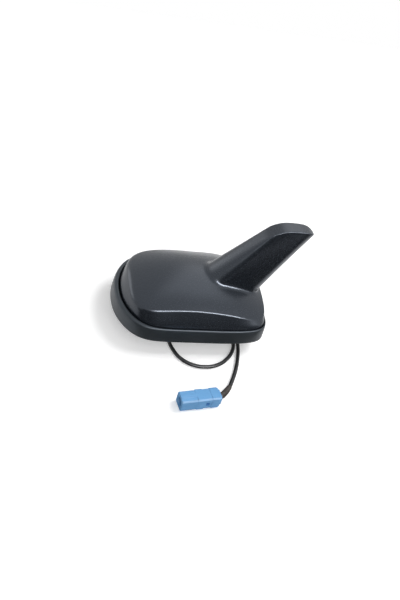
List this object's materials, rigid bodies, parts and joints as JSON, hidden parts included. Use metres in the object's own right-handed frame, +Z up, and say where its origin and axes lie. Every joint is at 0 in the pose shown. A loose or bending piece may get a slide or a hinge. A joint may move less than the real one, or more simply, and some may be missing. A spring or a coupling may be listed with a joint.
{
  "type": "shark fin aerial",
  "caption": "Roof aerial with a raked hollow fin on a pillow shaped cover, a rubber skirt, a slotted neck and a coaxial lead that ends in a blue plug.",
  "frame": {"origin": "axis of the threaded neck in the plane of the roof, which is the underside of the rubber skirt", "axes": "+X towards the rear, the way the fin leans; +Z up, out of the roof, along the neck's axis"},
  "size_m": [0.1345, 0.1315, 0.0928],
  "materials": {
    "cover_plastic": "fine satin moulded",
    "skirt_rubber": "matt moulded rubber",
    "seal_rubber": "matt",
    "cast_metal": "as cast",
    "steel": "zinc plated",
    "brass": "plated",
    "board": "solder mask",
    "chip": "moulded",
    "ceramic": "fired ceramic",
    "tape": "adhesive foam",
    "white_plastic": "moulded",
    "lead_jacket": "semi gloss cable jacket",
    "shrink_sleeve": "shrunk tubing",
    "blue_plastic": "moulded",
    "lock_plastic": "moulded"
  },
  "bodies": {
    "root": {"cover": "cover_plastic", "gasket": "skirt_rubber", "base_plate": "cast_metal", "cover_seal": "seal_rubber", "circuit_board": "board", "patch_antenna": "ceramic", "patch_tape": "tape", "feed_pin": "brass", "shield_can": "steel", "board_chips": "chip", "fin_radiator": "brass", "radiator_holder": "white_plastic", "contact_spring": "brass", "board_screws": "steel", "cover_screws": "steel", "neck_grommet": "seal_rubber", "inner_lead": "lead_jacket", "toothed_washer": "steel", "roof_nut": "steel", "antenna_lead": "lead_jacket", "lead_sleeve": "shrink_sleeve", "plug_housing": "blue_plastic", "plug_lock": "lock_plastic", "contact_shell": "brass", "contact_insulator": "white_plastic", "centre_contact": "brass"}
  },
  "joints": []
}
